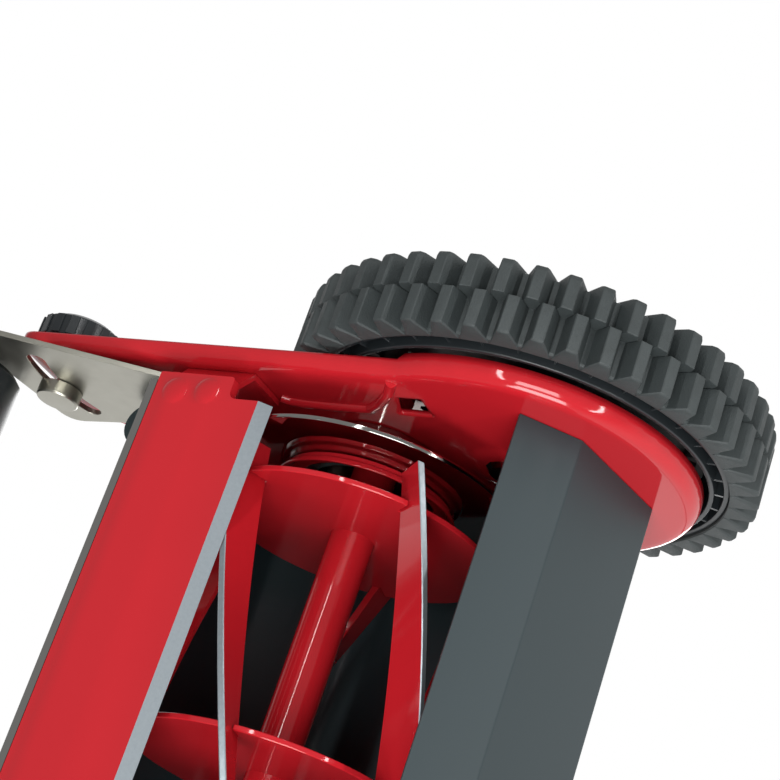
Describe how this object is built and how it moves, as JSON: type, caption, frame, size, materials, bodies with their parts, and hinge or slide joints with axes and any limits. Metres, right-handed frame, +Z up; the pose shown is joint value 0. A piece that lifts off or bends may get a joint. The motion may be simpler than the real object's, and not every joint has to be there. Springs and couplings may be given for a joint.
{
  "type": "reel mower",
  "caption": "Push reel mower with two lugged geared wheels, a helical-bladed reel over a bed knife, front deflector, rear height roller on slotted brackets and a swinging U handle.",
  "frame": {"origin": "on the ground, below the middle of the mower's footprint, between the wheels' front and the roller's back", "axes": "+X is the operator's right along the wheel axle, +Y is forward, +Z is up with the handle upright"},
  "size_m": [0.5088, 0.383, 1.28],
  "materials": {
    "red_enamel": "glossy red stove enamel on pressed steel",
    "tyre_rubber": "matt moulded rubber with two staggered rows of lugs",
    "black_plastic": "satin moulded black plastic",
    "gear_nylon": "natural moulded nylon, lightly greased",
    "zinc_steel": "zinc plated steel, dull grey with fine grain",
    "bright_steel": "bare ground steel",
    "grey_paint": "satin dark grey paint",
    "grip_foam": "closed-cell foam sleeve"
  },
  "bodies": {
    "frame": {"side_plate_right": "red_enamel", "side_plate_left": "red_enamel", "wheel_axle_right": "bright_steel", "wheel_axle_left": "bright_steel", "reel_bearing_right": "black_plastic", "reel_bearing_left": "black_plastic", "end_shield_right": "bright_steel", "end_shield_left": "bright_steel", "bearing_cover_right": "red_enamel", "bearing_cover_left": "red_enamel", "clamp_bolt_right": "zinc_steel", "clamp_bolt_left": "zinc_steel", "bracket_pivot_pin_right": "red_enamel", "bracket_pivot_pin_left": "red_enamel", "knife_arm_right": "red_enamel", "knife_arm_left": "red_enamel", "handle_pivot_bolt_right": "zinc_steel", "handle_pivot_bolt_left": "zinc_steel", "bed_bar": "bright_steel", "bed_knife": "red_enamel", "front_deflector": "grey_paint", "top_cover": "grey_paint", "tie_rod": "grey_paint"},
    "reel": {"reel_shaft": "red_enamel", "reel_disc_1": "red_enamel", "reel_disc_2": "red_enamel", "reel_disc_3": "red_enamel", "reel_disc_4": "red_enamel", "reel_blade_1": "red_enamel", "reel_blade_2": "red_enamel", "reel_blade_3": "red_enamel", "reel_blade_4": "red_enamel", "reel_blade_5": "red_enamel", "drive_pinion_right": "bright_steel", "drive_pinion_left": "bright_steel"},
    "wheel_right": {"tyre_right": "tyre_rubber", "wheel_rim_right": "black_plastic", "ring_gear_right": "gear_nylon", "hub_cap_right": "black_plastic"},
    "wheel_left": {"tyre_left": "tyre_rubber", "wheel_rim_left": "black_plastic", "ring_gear_left": "gear_nylon", "hub_cap_left": "black_plastic"},
    "roller_arms": {"roller_bracket_right": "zinc_steel", "roller_bracket_left": "zinc_steel", "roller_axle": "bright_steel"},
    "roller": {"rear_roller": "black_plastic"},
    "knob_right": {"clamp_knob_right": "black_plastic"},
    "knob_left": {"clamp_knob_left": "black_plastic"},
    "handle": {"lower_handle_right": "grey_paint", "lower_handle_left": "grey_paint", "handle_joint_bolt_right": "zinc_steel", "handle_joint_bolt_left": "zinc_steel", "handle_grip_right": "grip_foam", "handle_grip_left": "grip_foam", "upper_handle": "grey_paint"}
  },
  "joints": [
    {"name": "reel_spin", "type": "hinge", "parent": "frame", "child": "reel", "pos_m": [0, 0.0272, 0.0969], "axis": [1, 0, 0], "continuous": true},
    {"name": "wheel_right_spin", "type": "hinge", "parent": "frame", "child": "wheel_right", "pos_m": [0.238, 0.0865, 0.105], "axis": [1, 0, 0], "continuous": true},
    {"name": "wheel_left_spin", "type": "hinge", "parent": "frame", "child": "wheel_left", "pos_m": [-0.238, 0.0865, 0.105], "axis": [1, 0, 0], "continuous": true},
    {"name": "height_swing", "type": "hinge", "parent": "frame", "child": "roller_arms", "pos_m": [0, -0.0505, 0.043], "axis": [1, 0, 0], "range_deg": [-13, 15]},
    {"name": "roller_spin", "type": "hinge", "parent": "roller_arms", "child": "roller", "pos_m": [0, -0.1615, 0.03], "axis": [1, 0, 0], "continuous": true},
    {"name": "knob_right_turn", "type": "hinge", "parent": "frame", "child": "knob_right", "pos_m": [0.2115, -0.117, 0.0495], "axis": [1, 0, 0], "range_deg": [0, 360]},
    {"name": "knob_left_turn", "type": "hinge", "parent": "frame", "child": "knob_left", "pos_m": [-0.2115, -0.117, 0.0495], "axis": [1, 0, 0], "range_deg": [-360, 0]},
    {"name": "handle_swing", "type": "hinge", "parent": "frame", "child": "handle", "pos_m": [0, -0.0705, 0.075], "axis": [1, 0, 0], "range_deg": [0, 65]}
  ],
  "couplings": [
    {"joint": "wheel_right_spin", "follows": "reel_spin", "ratio": 0.16667},
    {"joint": "wheel_left_spin", "follows": "reel_spin", "ratio": 0.16667}
  ]
}
